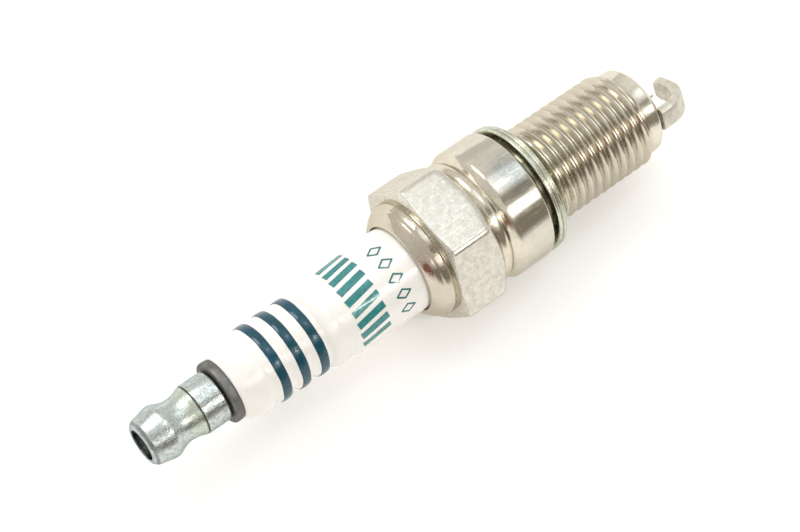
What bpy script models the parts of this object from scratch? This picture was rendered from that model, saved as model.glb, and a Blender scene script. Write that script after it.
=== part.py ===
"""A resistor spark plug for a motorcycle, as the separate pieces it is assembled from.

Every station below is a distance in millimetres along the plug's axis. It is counted from the seat, the face
of the flange that the gasket presses on: positive towards the spark, negative towards the terminal.
The plug lies along +X with one flat of its hexagon down. The flange rim touches the ground, so the axis is
one flange radius above it.
"""
import math

import bmesh
import bpy
from mathutils import Matrix, Vector

MM = 0.001

# The standard sizes that the rest follows from
THREAD_DIAMETER = 12.0
THREAD_PITCH = 1.25
THREAD_DEPTH = 0.62
REACH = 19.0
HEXAGON = 16.0
SEAT_TO_TERMINAL = 50.5
TERMINAL_DIAMETER = 6.35
STUD_THREAD_DIAMETER = 4.0
STUD_THREAD_PITCH = 0.7
SPARK_GAP = 0.9

# Radial clearances: between fixed pieces, between stacked pieces, and in the nut's thread
CLEAR = 0.03
JOINT_CLEAR = 0.05
NUT_CLEAR = 0.08

# The shell
CRIMP_EDGE = -15.9
HEXAGON_TOP = -13.35
HEXAGON_BOTTOM = -7.25
NECK_RADIUS = 7.2
BEAD_RADIUS = 7.55
FLANGE_TOP = -5.15
FLANGE_RADIUS = 8.1
SHELL_BORE = 6.0
THROAT_RADIUS = 4.45
MOUTH_RADIUS = 3.75
THREAD_START = 2.87
THREAD_END = 16.8
NOSE_RADIUS = 5.36

# The gasket
GASKET_RADIUS = 8.0
GASKET_THICKNESS = 1.5
GASKET_BORE = 5.72
GASKET_START = 0.65

# The insulator
HEAD_END = -39.7
HEAD_RADIUS = 4.62
BARREL_RADIUS = 5.2
SHOULDER_RADIUS = 5.9
SHOULDER_TOP = -11.6
SHOULDER_BOTTOM = -3.0
WAIST_RADIUS = 4.3
CONE_START = 5.3
CONE_END = 6.2
FOOT_RADIUS = 3.45
FOOT_END = 20.5
STUD_BORE = 2.0
TIP_BORE = 1.3
BORE_STEP = 2.6
RIB_PITCH = 2.53
RIB_COUNT = 3
FIRST_RIB = -34.75
RIB_WIDTH = 1.12
SWELL = -27.36
BAND_THICKNESS = 0.1

# The terminal
COLLAR_RADIUS = 3.72
COLLAR_THICKNESS = 1.05
NUT_BASE_RADIUS = 3.02
NUT_MOUTH_RADIUS = 1.72

# The fillings in the ceramic's bore
SHANK_END = -12.0
UPPER_GLASS_END = -8.6
RESISTOR_END = -1.0
LOWER_GLASS_END = 1.2
STACK_GAP = 0.05

# The electrodes
CENTRE_RADIUS = 1.22
CORE_RADIUS = 0.72
CENTRE_PROJECTION = 0.65
WELD_LENGTH = 0.33
TIP_RADIUS = 0.2
TIP_LENGTH = 0.52
SIDE_WIDTH = 2.7
SIDE_THICKNESS = 1.3
SIDE_OVERHANG = 0.9
SIDE_BEND = 3.2
SIDE_ANGLE = -126.0

SEGMENTS = 32
SMALL_SEGMENTS = 20

AXIS_HEIGHT = FLANGE_RADIUS
TIP_END = FOOT_END + CENTRE_PROJECTION + WELD_LENGTH + TIP_LENGTH
SPARK_END = TIP_END + SPARK_GAP + SIDE_THICKNESS
MIDDLE = (SPARK_END - SEAT_TO_TERMINAL) / 2


def clear_scene():
    for thing in list(bpy.data.objects):
        bpy.data.objects.remove(thing)


def make_material(name, colour, roughness, metallic):
    material = bpy.data.materials.new(name)
    material.use_nodes = True
    shader = material.node_tree.nodes["Principled BSDF"]
    shader.inputs["Base Color"].default_value = (*colour, 1.0)
    shader.inputs["Roughness"].default_value = roughness
    shader.inputs["Metallic"].default_value = metallic
    return material


def finish_object(name, mesh, material, axis):
    """Shades a mesh smooth, gives it its material and puts it on the plug's axis."""
    mesh.shade_smooth()
    mesh.set_sharp_from_angle(angle=math.radians(35))
    piece = bpy.data.objects.new(name, mesh)
    bpy.context.scene.collection.objects.link(piece)
    mesh.materials.append(material)
    piece.parent = axis
    return piece


def mesh_from(bm, name):
    bmesh.ops.recalc_face_normals(bm, faces=bm.faces)
    mesh = bpy.data.meshes.new(name)
    bm.to_mesh(mesh)
    bm.free()
    return mesh


def turn_profile(points, segments):
    """Spins a closed outline of (station, radius) points about the axis, local +Z."""
    bm = bmesh.new()
    rim = [bm.verts.new((radius * MM, 0, station * MM)) for station, radius in points]
    edges = []
    for i, (_, radius) in enumerate(points):
        following = (i + 1) % len(points)
        if radius or points[following][1]:
            edges.append(bm.edges.new((rim[i], rim[following])))
    bmesh.ops.spin(
        bm,
        geom=rim + edges,
        cent=(0, 0, 0),
        axis=(0, 0, 1),
        angle=math.tau,
        steps=segments,
        use_merge=True,
    )
    bmesh.ops.remove_doubles(bm, verts=bm.verts, dist=1e-7)
    return bm


def arc(centre, radius, start, end, steps):
    """Points (station, radius from the axis) round a centre, from one angle to another in degrees."""
    angles = [math.radians(start + (end - start) * i / steps) for i in range(steps + 1)]
    return [(centre[0] + radius * math.cos(a), centre[1] + radius * math.sin(a)) for a in angles]


def thread_crests(start, end, pitch, crest, root):
    """The saw-tooth outline of a thread, drawn as rings one pitch apart."""
    points = []
    turns = int((end - start) / pitch)
    for i in range(turns):
        ring = start + i * pitch
        points += [(ring, root), (ring + 0.4 * pitch, crest), (ring + 0.6 * pitch, crest)]
    points.append((start + turns * pitch, root))
    return points


def cap_points(start, end, radius, chamfer):
    """A solid rod with chamfered ends, closed on the axis."""
    return [
        (start, 0),
        (start, radius - chamfer),
        (start + chamfer, radius),
        (end - chamfer, radius),
        (end, radius - chamfer),
        (end, 0),
    ]


def turned(name, points, material, axis, segments=SEGMENTS):
    return finish_object(name, mesh_from(turn_profile(points, segments), name), material, axis)


def insulator_outline():
    """The outside of the ceramic from its head, over the ribs and the shoulder, to its foot."""
    head = HEAD_END
    outside = [(head, 3.7), (head + 0.3, 3.95), (head + 1.3, 4.4), (head + 2.4, 4.68), (head + 3.0, 4.66)]
    for i in range(RIB_COUNT):
        outside += rib_points(FIRST_RIB + i * RIB_PITCH, HEAD_RADIUS)
    outside += [(SWELL - RIB_PITCH / 2, HEAD_RADIUS - 0.2), (SWELL - 0.7, 4.85), (SWELL, 5.04)]
    outside += [(SWELL + 0.5, 5.02), (SWELL + 0.95, 4.84), (SWELL + 1.4, 4.9), (SWELL + 2.4, BARREL_RADIUS)]
    outside += [(SHOULDER_TOP - 0.7, BARREL_RADIUS), (SHOULDER_TOP, SHOULDER_RADIUS)]
    outside += [(SHOULDER_BOTTOM, SHOULDER_RADIUS), (SHOULDER_BOTTOM + 1.5, WAIST_RADIUS)]
    outside += [(CONE_START, WAIST_RADIUS), (CONE_END, FOOT_RADIUS)]
    outside += [(FOOT_END - 6.0, 2.55), (FOOT_END - 0.4, 2.15), (FOOT_END, 1.85)]
    return outside


def rib_points(rib, radius):
    """One raised rib: a flat crest for its enamel band, with a shallow valley on each side."""
    half = RIB_WIDTH / 2
    valley = RIB_PITCH / 2
    return [
        (rib - valley, radius - 0.22),
        (rib - half, radius),
        (rib + half, radius),
    ]


def build_insulator(material, axis):
    bore = [
        (FOOT_END, TIP_BORE),
        (BORE_STEP + 0.7, TIP_BORE),
        (BORE_STEP, STUD_BORE),
        (HEAD_END, STUD_BORE),
    ]
    return turned("insulator", insulator_outline() + bore, material, axis)


def build_bands(material, axis):
    """Three bands of fired enamel, each round the crest of one rib."""
    inner = HEAD_RADIUS + CLEAR
    for i in range(RIB_COUNT):
        rib = FIRST_RIB + i * RIB_PITCH
        half = RIB_WIDTH / 2 - CLEAR
        points = [
            (rib - half, inner),
            (rib - half, inner + BAND_THICKNESS / 2),
            (rib - half + 0.2, inner + BAND_THICKNESS),
            (rib + half - 0.2, inner + BAND_THICKNESS),
            (rib + half, inner + BAND_THICKNESS / 2),
            (rib + half, inner),
        ]
        turned(f"enamel_band_{i + 1}", points, material, axis)


def shell_outline():
    """The outside of the shell without its hexagon: crimp, neck, flange, thread and plain end."""
    root = THREAD_DIAMETER / 2 - THREAD_DEPTH
    outside = [(CRIMP_EDGE, BARREL_RADIUS + 0.15), (CRIMP_EDGE, BARREL_RADIUS + 0.55)]
    outside += [(CRIMP_EDGE + 0.4, 6.3), (CRIMP_EDGE + 1.1, 6.85), (CRIMP_EDGE + 2.1, NECK_RADIUS)]
    outside += [(HEXAGON_BOTTOM + 0.3, NECK_RADIUS), (HEXAGON_BOTTOM + 0.6, BEAD_RADIUS)]
    outside += [(HEXAGON_BOTTOM + 1.3, BEAD_RADIUS), (FLANGE_TOP - 0.3, NECK_RADIUS + 0.1)]
    outside += [(FLANGE_TOP, FLANGE_RADIUS - 0.45), (FLANGE_TOP + 0.5, FLANGE_RADIUS)]
    outside += [(-0.3, FLANGE_RADIUS), (0, FLANGE_RADIUS - 0.3), (0, root)]
    threads = thread_crests(THREAD_START, THREAD_END, THREAD_PITCH, THREAD_DIAMETER / 2, root)
    outside += threads
    outside += [(threads[-1][0] + 0.2, NOSE_RADIUS), (REACH - 0.5, NOSE_RADIUS)]
    outside += [(REACH, NOSE_RADIUS - 0.5)]
    return outside


def shell_bore():
    """The inside of the shell, from its fired end back to the crimp."""
    return [
        (REACH, MOUTH_RADIUS),
        (CONE_END + 0.19, MOUTH_RADIUS),
        (CONE_START + 0.35, THROAT_RADIUS),
        (SHOULDER_BOTTOM + 1.7, THROAT_RADIUS),
        (SHOULDER_BOTTOM + 0.1, SHELL_BORE),
        (CRIMP_EDGE + 0.95, SHELL_BORE),
        (CRIMP_EDGE + 0.6, BARREL_RADIUS + 0.15),
    ]


def build_shell(material, axis):
    body = turn_profile(shell_outline() + shell_bore(), SEGMENTS)
    shell = finish_object("metal_shell", mesh_from(body, "metal_shell"), material, axis)
    hexagon = build_hexagon(axis)
    union = shell.modifiers.new("hexagon", "BOOLEAN")
    union.operation = "UNION"
    union.object = hexagon
    return shell


def build_hexagon(axis):
    """The hexagon as a ring, its corners cut back by a chamfer cone at both ends."""
    bm = bmesh.new()
    corner = HEXAGON / 2 / math.cos(math.pi / 6)
    bmesh.ops.create_cone(
        bm,
        cap_ends=True,
        segments=6,
        radius1=corner * MM,
        radius2=corner * MM,
        depth=(HEXAGON_BOTTOM - HEXAGON_TOP) * MM,
        matrix=Matrix.Translation((0, 0, (HEXAGON_BOTTOM + HEXAGON_TOP) / 2 * MM)),
    )
    ring = bpy.data.objects.new("hexagon_guide", mesh_from(bm, "hexagon_guide"))
    bpy.context.scene.collection.objects.link(ring)
    ring.parent = axis
    hide_guide(ring)
    edge = corner - 0.12
    low = HEXAGON / 2 - 0.15
    rise = (edge - low) * math.tan(math.radians(30))
    bore = SHELL_BORE + 0.4
    outline = [(HEXAGON_TOP - 0.1, bore), (HEXAGON_TOP - 0.1, low), (HEXAGON_TOP + rise, edge)]
    outline += [(HEXAGON_BOTTOM - rise, edge), (HEXAGON_BOTTOM + 0.1, low), (HEXAGON_BOTTOM + 0.1, bore)]
    cone = turn_profile(outline, SEGMENTS)
    chamfer = bpy.data.objects.new("chamfer_guide", mesh_from(cone, "chamfer_guide"))
    bpy.context.scene.collection.objects.link(chamfer)
    chamfer.parent = axis
    hide_guide(chamfer)
    cut = ring.modifiers.new("chamfer", "BOOLEAN")
    cut.operation = "INTERSECT"
    cut.object = chamfer
    return ring


def hide_guide(guide):
    guide.hide_render = True
    guide.display_type = "WIRE"


def build_gasket(material, axis):
    """The folded crush washer, loose between the flange and the first thread."""
    start = GASKET_START
    end = start + GASKET_THICKNESS
    half = GASKET_THICKNESS / 2
    middle = start + half
    outer = GASKET_RADIUS - 0.4
    points = [(start, GASKET_BORE + 0.3), (start, outer)]
    points += [(start + 0.15, GASKET_RADIUS - 0.1), (start + 0.4, GASKET_RADIUS)]
    points += [(middle - 0.12, GASKET_RADIUS), (middle, GASKET_RADIUS - 0.2), (middle + 0.12, GASKET_RADIUS)]
    points += [(end - 0.4, GASKET_RADIUS), (end - 0.15, GASKET_RADIUS - 0.1), (end, outer)]
    points += [(end, GASKET_BORE + 0.3), (end - 0.3, GASKET_BORE), (start + 0.3, GASKET_BORE)]
    return turned("gasket", points, material, axis)


def build_stud(material, axis):
    """The terminal stud: a threaded end for the nut, a collar on the ceramic and a shank in the bore."""
    collar_back = HEAD_END - CLEAR
    collar_front = collar_back - COLLAR_THICKNESS
    crest = STUD_THREAD_DIAMETER / 2
    root = crest - 0.3
    tip = -SEAT_TO_TERMINAL + 2.3
    threads = thread_crests(tip + 0.5, collar_front - 0.5, STUD_THREAD_PITCH, crest, root)
    points = [(tip, 0), (tip, root - 0.3)]
    points += threads
    points += [(collar_front, root), (collar_front, COLLAR_RADIUS - 0.15)]
    points += [(collar_front + 0.15, COLLAR_RADIUS), (collar_back - 0.15, COLLAR_RADIUS)]
    points += [(collar_back, COLLAR_RADIUS - 0.15), (collar_back, STUD_BORE - JOINT_CLEAR)]
    points += [(SHANK_END - 4.0, STUD_BORE - JOINT_CLEAR), (SHANK_END - 3.5, STUD_BORE - 0.3)]
    points += [(SHANK_END, STUD_BORE - 0.3), (SHANK_END, 0)]
    return turned("terminal_stud", points, material, axis, SMALL_SEGMENTS)


def build_nut(material, axis):
    """The solid terminal nut: a round nose, a waist for the cap's spring and a plain base."""
    nose = -SEAT_TO_TERMINAL
    base = HEAD_END - CLEAR - COLLAR_THICKNESS - 0.1
    bulge = TERMINAL_DIAMETER / 2
    bore = STUD_THREAD_DIAMETER / 2 + NUT_CLEAR
    step = nose + 6.55
    points = [(nose, NUT_MOUTH_RADIUS), (nose, 2.25), (nose + 0.45, 2.65), (nose + 2.1, 3.1)]
    points += [(nose + 2.55, bulge), (nose + 2.9, bulge - 0.03), (nose + 3.5, 2.86), (nose + 4.2, 2.6)]
    points += [(nose + 5.0, 2.55), (nose + 5.8, 2.68), (step, 2.98), (step + 0.08, NUT_BASE_RADIUS - 0.12)]
    points += [(step + 0.16, NUT_BASE_RADIUS), (base - 0.2, NUT_BASE_RADIUS), (base, NUT_BASE_RADIUS - 0.2)]
    points += [(base, bore + 0.2), (base - 0.3, bore), (nose + 1.6, bore), (nose + 1.2, NUT_MOUTH_RADIUS)]
    return turned("terminal_nut", points, material, axis, SMALL_SEGMENTS)


def build_core(materials, axis):
    """What the ceramic's bore holds, from the stud down: glass, resistor and glass."""
    radius = STUD_BORE - CLEAR
    fillings = [
        ("upper_glass_seal", "seal_glass", SHANK_END, UPPER_GLASS_END),
        ("resistor", "resistor", UPPER_GLASS_END, RESISTOR_END),
        ("lower_glass_seal", "seal_glass", RESISTOR_END, LOWER_GLASS_END),
    ]
    for name, material, start, end in fillings:
        start += STACK_GAP
        points = [(start, 0), (start, radius), (end, radius), (end, 0)]
        turned(name, points, materials[material], axis, SMALL_SEGMENTS)


def build_centre_electrode(materials, axis):
    """A nickel sheath round a copper core, hung in the bore by its head, with a fine welded tip."""
    head = LOWER_GLASS_END + STACK_GAP
    end = FOOT_END + CENTRE_PROJECTION
    bottom = FOOT_END - 2.0
    weld_end = end + WELD_LENGTH
    sheath = [(head, CORE_RADIUS + CLEAR), (head, STUD_BORE - 0.1), (BORE_STEP - 0.1, STUD_BORE - 0.1)]
    sheath += [(BORE_STEP + 0.55, CENTRE_RADIUS), (FOOT_END + 0.1, CENTRE_RADIUS)]
    sheath += [(end, 0.4), (end, 0), (bottom, 0), (bottom - 0.6, CORE_RADIUS + CLEAR)]
    turned("centre_electrode", sheath, materials["nickel_alloy"], axis, SMALL_SEGMENTS)
    core = [(head, 0), (head, CORE_RADIUS), (bottom - 0.65, CORE_RADIUS), (bottom - STACK_GAP, 0)]
    turned("copper_core", core, materials["copper"], axis, SMALL_SEGMENTS)
    weld = [(end + 0.02, 0), (end + 0.02, 0.38), (end + 0.2, 0.3), (weld_end, 0.24), (weld_end, 0)]
    turned("tip_weld", weld, materials["nickel_alloy"], axis, SMALL_SEGMENTS)
    tip = cap_points(weld_end + 0.02, TIP_END, TIP_RADIUS, 0.03)
    turned("iridium_tip", tip, materials["iridium"], axis, SMALL_SEGMENTS)


def build_packings(materials, axis):
    """The rings and the talc that seal the ceramic in the shell."""
    wire = 0.3
    middle = (BARREL_RADIUS + SHELL_BORE) / 2
    upper = CRIMP_EDGE + 0.95 + wire + CLEAR
    lower = SHOULDER_TOP - 0.7 - wire - CLEAR
    for name, station in (("upper_packing_ring", upper), ("lower_packing_ring", lower)):
        turned(name, arc((station, middle), wire, 0, 315, 7), materials["packing_steel"], axis)
    start = upper + wire + CLEAR
    end = lower - wire - CLEAR
    inner = BARREL_RADIUS + CLEAR
    outer = SHELL_BORE - CLEAR
    talc = [(start, inner), (start, outer), (end, outer), (end, inner)]
    turned("talc_packing", talc, materials["talc"], axis)
    slope = Vector((CONE_END - CONE_START, FOOT_RADIUS - WAIST_RADIUS))
    length = slope.length
    along = slope.normalized()
    away = Vector((-along.y, along.x))
    corner = Vector((CONE_START, WAIST_RADIUS))
    washer = []
    for run, lift in ((0.2, 0.05), (length - 0.2, 0.05), (length - 0.2, 0.3), (0.2, 0.3)):
        washer.append(tuple(corner + along * run + away * lift))
    turned("seat_packing", washer, materials["packing_steel"], axis)


def build_side_electrode(materials, axis):
    """The side electrode: a flat wire welded to the shell's end and bent over the centre tip."""
    start = REACH + 0.3
    top = TIP_END + SPARK_GAP + SIDE_THICKNESS / 2
    foot = NOSE_RADIUS - SIDE_THICKNESS / 2 - 0.05
    path = [(start, foot)]
    path += [(top - SIDE_BEND * (1 - math.sin(a)), foot - SIDE_BEND * (1 - math.cos(a))) for a in quarter(6)]
    path.append((top, -SIDE_OVERHANG))
    bm = bmesh.new()
    rings = []
    for i, (station, height) in enumerate(path):
        ahead = path[min(i + 1, len(path) - 1)]
        behind = path[max(i - 1, 0)]
        along = Vector((ahead[1] - behind[1], 0, ahead[0] - behind[0])).normalized()
        across = Vector((along.z, 0, -along.x))
        centre = Vector((height, 0, station))
        width = SIDE_WIDTH if i < len(path) - 1 else SIDE_WIDTH * 0.62
        ring = []
        for side, out in ((-1, -1), (1, -1), (1, 1), (-1, 1)):
            corner = centre + across * out * SIDE_THICKNESS / 2 + Vector((0, side * width / 2, 0))
            ring.append(bm.verts.new(corner * MM))
        rings.append(ring)
    for first, second in zip(rings, rings[1:]):
        for k in range(4):
            bm.faces.new((first[k], first[(k + 1) % 4], second[(k + 1) % 4], second[k]))
    bm.faces.new(rings[0])
    bm.faces.new(rings[-1])
    mesh = mesh_from(bm, "side_electrode")
    side = finish_object("side_electrode", mesh, materials["nickel_alloy"], axis)
    side.rotation_euler = (0, 0, math.radians(SIDE_ANGLE))
    rounding = side.modifiers.new("rounded edges", "BEVEL")
    rounding.width = 0.3 * MM
    rounding.segments = 2
    rounding.limit_method = "ANGLE"
    rounding.angle_limit = math.radians(50)
    build_side_weld(materials, axis, foot)


def build_side_weld(materials, axis, foot):
    """The bead of weld metal between the side electrode's foot and the shell's end."""
    bm = bmesh.new()
    bmesh.ops.create_cube(bm, size=1.0)
    size = (SIDE_THICKNESS - 0.15, SIDE_WIDTH - 0.2, 0.24)
    bmesh.ops.scale(bm, vec=[side * MM for side in size], verts=bm.verts)
    bmesh.ops.translate(bm, vec=(foot * MM, 0, (REACH + 0.15) * MM), verts=bm.verts)
    mesh = mesh_from(bm, "side_weld")
    weld = finish_object("side_weld", mesh, materials["nickel_alloy"], axis)
    weld.rotation_euler = (0, 0, math.radians(SIDE_ANGLE))


def quarter(steps):
    return [math.pi / 2 * i / steps for i in range(steps + 1)]


def main():
    clear_scene()
    axis = bpy.data.objects.new("plug_axis", None)
    bpy.context.scene.collection.objects.link(axis)
    axis.rotation_euler = (0, math.pi / 2, 0)
    axis.location = (-MIDDLE * MM, 0, AXIS_HEIGHT * MM)
    materials = {
        "shell_nickel": make_material("shell_nickel", (0.62, 0.58, 0.5), 0.28, 1.0),
        "terminal_zinc": make_material("terminal_zinc", (0.66, 0.69, 0.67), 0.3, 1.0),
        "stud_steel": make_material("stud_steel", (0.22, 0.22, 0.21), 0.5, 1.0),
        "ceramic_glaze": make_material("ceramic_glaze", (0.9, 0.88, 0.85), 0.12, 0.0),
        "enamel": make_material("enamel", (0.01, 0.09, 0.14), 0.1, 0.0),
        "gasket_zinc": make_material("gasket_zinc", (0.66, 0.68, 0.6), 0.3, 1.0),
        "nickel_alloy": make_material("nickel_alloy", (0.6, 0.56, 0.49), 0.38, 1.0),
        "iridium": make_material("iridium", (0.75, 0.74, 0.72), 0.25, 1.0),
        "copper": make_material("copper", (0.8, 0.42, 0.28), 0.35, 1.0),
        "seal_glass": make_material("seal_glass", (0.12, 0.1, 0.08), 0.35, 0.0),
        "resistor": make_material("resistor", (0.05, 0.05, 0.055), 0.6, 0.0),
        "packing_steel": make_material("packing_steel", (0.4, 0.39, 0.37), 0.4, 1.0),
        "talc": make_material("talc", (0.85, 0.84, 0.8), 0.9, 0.0),
    }
    build_shell(materials["shell_nickel"], axis)
    build_insulator(materials["ceramic_glaze"], axis)
    build_bands(materials["enamel"], axis)
    build_stud(materials["stud_steel"], axis)
    build_nut(materials["terminal_zinc"], axis)
    build_core(materials, axis)
    build_centre_electrode(materials, axis)
    build_packings(materials, axis)
    build_gasket(materials["gasket_zinc"], axis)
    build_side_electrode(materials, axis)


main()
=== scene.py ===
import math

import bmesh
import bpy
from mathutils import Matrix, Vector, noise


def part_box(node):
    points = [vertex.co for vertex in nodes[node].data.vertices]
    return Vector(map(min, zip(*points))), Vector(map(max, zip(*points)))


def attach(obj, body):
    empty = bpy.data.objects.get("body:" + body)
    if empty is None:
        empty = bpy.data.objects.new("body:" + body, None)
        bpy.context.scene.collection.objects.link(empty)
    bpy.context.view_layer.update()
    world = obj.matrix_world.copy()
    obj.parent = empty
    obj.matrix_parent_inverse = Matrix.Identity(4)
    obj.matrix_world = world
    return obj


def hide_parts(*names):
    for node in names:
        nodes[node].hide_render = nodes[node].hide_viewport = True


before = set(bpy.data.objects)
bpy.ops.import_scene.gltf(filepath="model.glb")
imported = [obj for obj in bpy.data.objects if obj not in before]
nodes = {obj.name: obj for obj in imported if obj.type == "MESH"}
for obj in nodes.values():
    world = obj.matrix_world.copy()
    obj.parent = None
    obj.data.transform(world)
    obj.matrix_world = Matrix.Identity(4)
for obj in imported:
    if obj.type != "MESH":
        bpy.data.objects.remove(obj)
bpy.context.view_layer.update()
mm = 0.001
scene = bpy.context.scene

# The plug's own measures, read from the frame. Stations are in mm along +X from the gasket's seat.
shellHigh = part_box("metal_shell")[1]
gasketLow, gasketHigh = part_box("gasket")
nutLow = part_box("terminal_nut")[0]
reach = 19
seatX = shellHigh.x - reach * mm
axisZ = (gasketLow.z + gasketHigh.z) / 2
axisPoint = Vector((seatX, 0, axisZ))
noseStation = (nutLow.x - seatX) / mm
print("frame loaded: seat at", round(seatX, 5), "axis at", round(axisZ, 5))


def onPlug(station, radius, turn):
    # a point on the plug: turn is in radians from straight up, towards +Y
    return Vector((seatX + station * mm, radius * mm * math.sin(turn), axisZ + radius * mm * math.cos(turn)))


def newObject(name, bm, smoothAngle=30):
    mesh = bpy.data.meshes.new(name)
    bm.to_mesh(mesh)
    bm.free()
    mesh.shade_smooth()
    mesh.set_sharp_from_angle(angle=math.radians(smoothAngle))
    obj = bpy.data.objects.new(name, mesh)
    scene.collection.objects.link(obj)
    return obj


def softCorners(points, cuts=4):
    # (station, radius, softness) corners; each soft corner becomes a short curve
    outline = []
    for i, point in enumerate(points):
        s, r, soft = (tuple(point) + (0,))[:3]
        here = Vector((s, r))
        if not soft or i in (0, len(points) - 1):
            outline.append((s, r))
            continue
        back = Vector(points[i - 1][:2]) - here
        ahead = Vector(points[i + 1][:2]) - here
        back *= min(soft, back.length * 0.48) / back.length
        ahead *= min(soft, ahead.length * 0.48) / ahead.length
        for k in range(cuts + 1):
            t = k / cuts
            spot = here + back * (1 - t) ** 2 + ahead * t ** 2
            outline.append((spot.x, spot.y))
    return outline


def spinOutline(bm, outline, steps, closed=True):
    # turns the outline into a surface round the plug's axis
    rim = [bm.verts.new(onPlug(s, r, 0)) for s, r in outline]
    edges = []
    for i in range(len(rim) if closed else len(rim) - 1):
        j = (i + 1) % len(rim)
        if outline[i][1] or outline[j][1]:
            edges.append(bm.edges.new((rim[i], rim[j])))
    bmesh.ops.spin(bm, geom=rim + edges, cent=axisPoint, axis=(1, 0, 0), angle=math.tau,
                   steps=steps, use_merge=True)
    bmesh.ops.remove_doubles(bm, verts=bm.verts, dist=1e-7)


def turned(name, points, steps, closed=True, smoothAngle=30):
    bm = bmesh.new()
    spinOutline(bm, softCorners(points), steps, closed)
    bmesh.ops.recalc_face_normals(bm, faces=bm.faces)
    return newObject(name, bm, smoothAngle)


def screwTube(bm, thread, steps):
    # a right-hand screw surface, cut square at both ends and faded into them
    made = bmesh.new()
    pitch = thread["pitch"]
    mid = (thread["crest"] + thread["root"]) / 2
    half = (thread["crest"] - thread["root"]) / 2
    shape = [(-0.5, -1), (-0.4, -0.93), (-0.31, -0.6), (-0.13, 0.72), (-0.06, 0.97),
             (0.06, 0.97), (0.13, 0.72), (0.31, -0.6), (0.4, -0.93)]
    first = thread["firstCrest"] - pitch * math.ceil((thread["firstCrest"] - thread["start"]) / pitch + 1.5)
    turns = math.ceil((thread["end"] - first) / pitch) + 1
    rim = []
    for k in range(turns):
        for share, rise in shape:
            rim.append(made.verts.new(onPlug(first + (k + share) * pitch, mid + half * rise, 0)))
    edges = [made.edges.new(pair) for pair in zip(rim, rim[1:])]
    bmesh.ops.spin(made, geom=rim + edges, cent=axisPoint, axis=(1, 0, 0), angle=math.tau,
                   steps=steps, dvec=(pitch * mm / steps, 0, 0), use_merge=False)
    bmesh.ops.remove_doubles(made, verts=made.verts, dist=2e-7)
    for station, side in ((thread["start"], -1), (thread["end"], 1)):
        bmesh.ops.bisect_plane(made, geom=made.verts[:] + made.edges[:] + made.faces[:], dist=1e-8,
                               plane_co=onPlug(station, 0, 0), plane_no=(side, 0, 0), clear_outer=True)
    for v in made.verts:
        station = (v.co.x - seatX) / mm
        out = Vector((0, v.co.y, v.co.z - axisZ))
        allowed = min(station - thread["start"], thread["end"] - station) * thread["fade"]
        radius = min(out.length / mm, thread["root"] + 0.02 + allowed)
        v.co = Vector((v.co.x, 0, axisZ)) + out.normalized() * radius * mm
    mesh = bpy.data.meshes.new("screw")
    made.to_mesh(mesh)
    made.free()
    bm.from_mesh(mesh)
    bpy.data.meshes.remove(mesh)


def bridgeNear(bm, station, width=0.6):
    # joins the two open loops that face each other at a station
    rims = [e for e in bm.edges if e.is_boundary
            and abs((e.verts[0].co.x - seatX) / mm - station) < width]
    bmesh.ops.bridge_loops(bm, edges=rims)


def finishPiece(obj, material, body, slot, *replaced):
    obj.data.materials.clear()
    obj.data.materials.append(material)
    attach(obj, body)
    if replaced:
        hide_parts(*replaced)
    return obj


# Node helpers
def addNode(tree, kind, inputs=None, **settings):
    made = tree.nodes.new("ShaderNode" + kind)
    for key, value in settings.items():
        setattr(made, key, value)
    for key, value in (inputs or {}).items():
        if isinstance(value, bpy.types.NodeSocket):
            tree.links.new(value, made.inputs[key])
        else:
            made.inputs[key].default_value = value
    return made


def mathNode(tree, operation, a, b=0.0, c=0.0, clamp=False):
    return addNode(tree, "Math", {0: a, 1: b, 2: c}, operation=operation, use_clamp=clamp).outputs[0]


def spread(tree, value, low, high, toLow=0.0, toHigh=1.0):
    # a smooth step from toLow to toHigh as the value goes from low to high
    limits = {"Value": value, "From Min": low, "From Max": high, "To Min": toLow, "To Max": toHigh}
    return addNode(tree, "MapRange", limits, interpolation_type="SMOOTHSTEP").outputs[0]


def mixColour(tree, amount, a, b):
    made = addNode(tree, "Mix", data_type="RGBA")
    for key, value in ((0, amount), (6, a), (7, b)):
        if isinstance(value, bpy.types.NodeSocket):
            tree.links.new(value, made.inputs[key])
        else:
            made.inputs[key].default_value = value if key == 0 else (*value, 1)
    return made.outputs[2]


def makeGroup(name, inputs, outputs):
    # an empty node group with named sockets; a tuple of three makes a colour
    tree = bpy.data.node_groups.new(name, "ShaderNodeTree")
    for key, value in inputs.items():
        kind = "NodeSocketColor" if isinstance(value, tuple) else "NodeSocketFloat"
        socket = tree.interface.new_socket(key, in_out="INPUT", socket_type=kind)
        socket.default_value = (*value, 1) if isinstance(value, tuple) else value
    for key, kind in outputs.items():
        tree.interface.new_socket(key, in_out="OUTPUT", socket_type="NodeSocket" + kind)
    return tree, tree.nodes.new("NodeGroupInput"), tree.nodes.new("NodeGroupOutput")


def useGroup(tree, group, **values):
    made = tree.nodes.new("ShaderNodeGroup")
    made.node_tree = group
    for key, value in values.items():
        if isinstance(value, bpy.types.NodeSocket):
            tree.links.new(value, made.inputs[key])
        else:
            made.inputs[key].default_value = (*value, 1) if isinstance(value, tuple) else value
    return made


def plugPlace(tree):
    # Object coordinates moved to the seat and counted in mm
    where = addNode(tree, "TexCoord").outputs["Object"]
    toMm = (1 / mm, 1 / mm, 1 / mm)
    return addNode(tree, "Mapping", {"Vector": where, "Location": -axisPoint / mm, "Scale": toMm}).outputs[0]


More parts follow.
